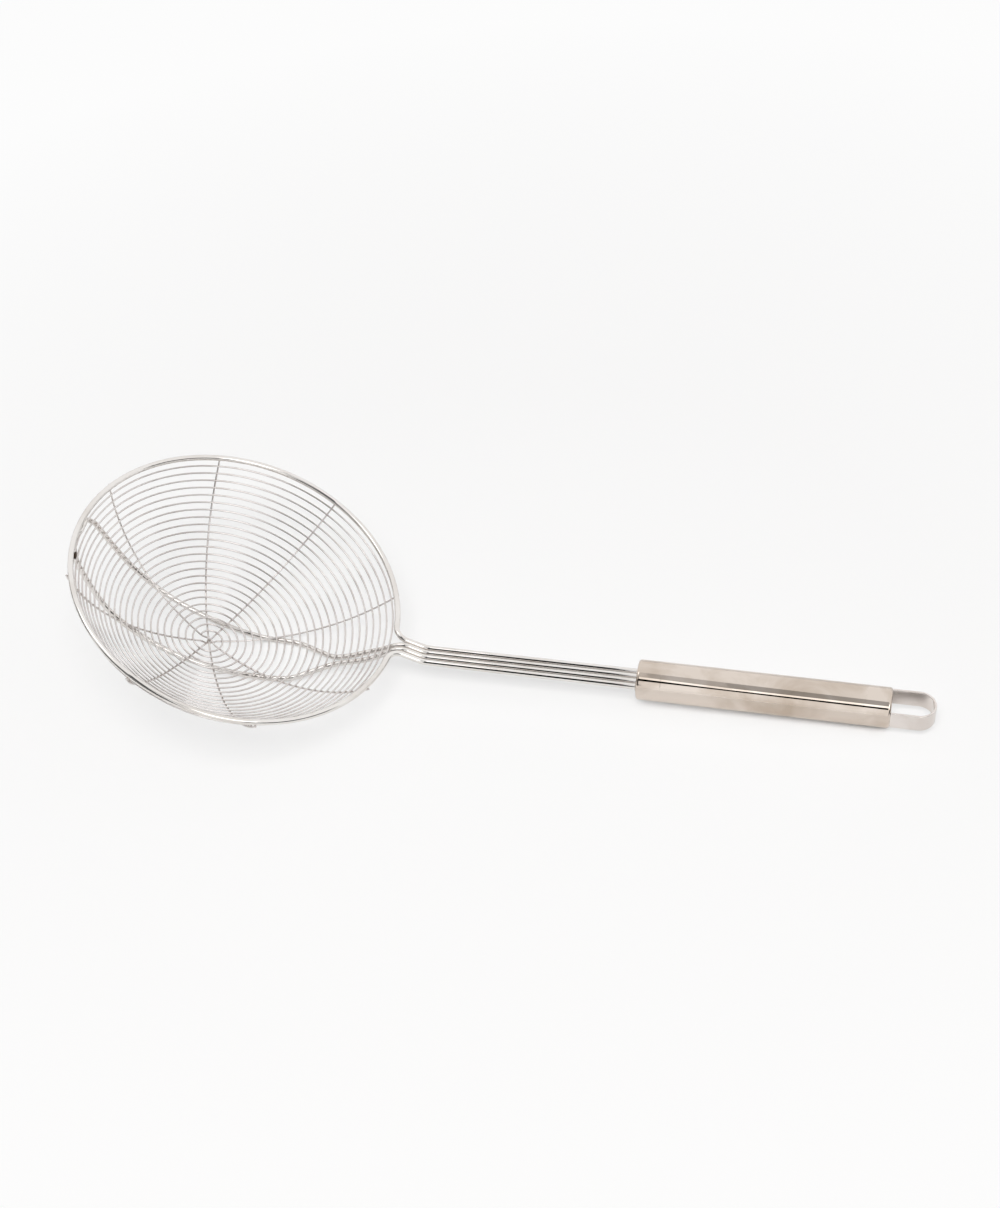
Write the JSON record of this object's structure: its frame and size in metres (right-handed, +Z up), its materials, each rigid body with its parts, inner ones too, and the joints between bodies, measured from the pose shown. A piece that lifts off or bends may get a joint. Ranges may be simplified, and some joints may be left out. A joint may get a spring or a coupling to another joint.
{
  "type": "wire skimmer",
  "caption": "Spider skimmer: a round bowl of spiral-wound wire on welded spokes and a hairpin cradle, with a flat wire shaft, a hollow round handle and a hanging loop.",
  "frame": {"origin": "on the surface that the skimmer lies on, under the middle of its box", "axes": "+X along the handle towards the hanging loop, +Z up as the skimmer lies with its bowl's mouth upwards"},
  "size_m": [0.4032, 0.1598, 0.0849],
  "materials": {
    "polished_wire": "bright drawn and electropolished stainless steel wire",
    "fine_wire": "bright drawn thin stainless steel wire",
    "satin_tube": "satin stainless steel, faintly warm",
    "bright_strip": "bright rolled stainless steel strip"
  },
  "bodies": {
    "root": {"rim_wire": "polished_wire", "cradle_wire": "polished_wire", "spiral_wire": "fine_wire", "spoke_1": "fine_wire", "spoke_2": "fine_wire", "spoke_3": "fine_wire", "spoke_4": "fine_wire", "front_cup": "satin_tube", "handle_tube": "satin_tube", "rear_cup": "satin_tube", "hang_loop": "bright_strip"}
  },
  "joints": []
}
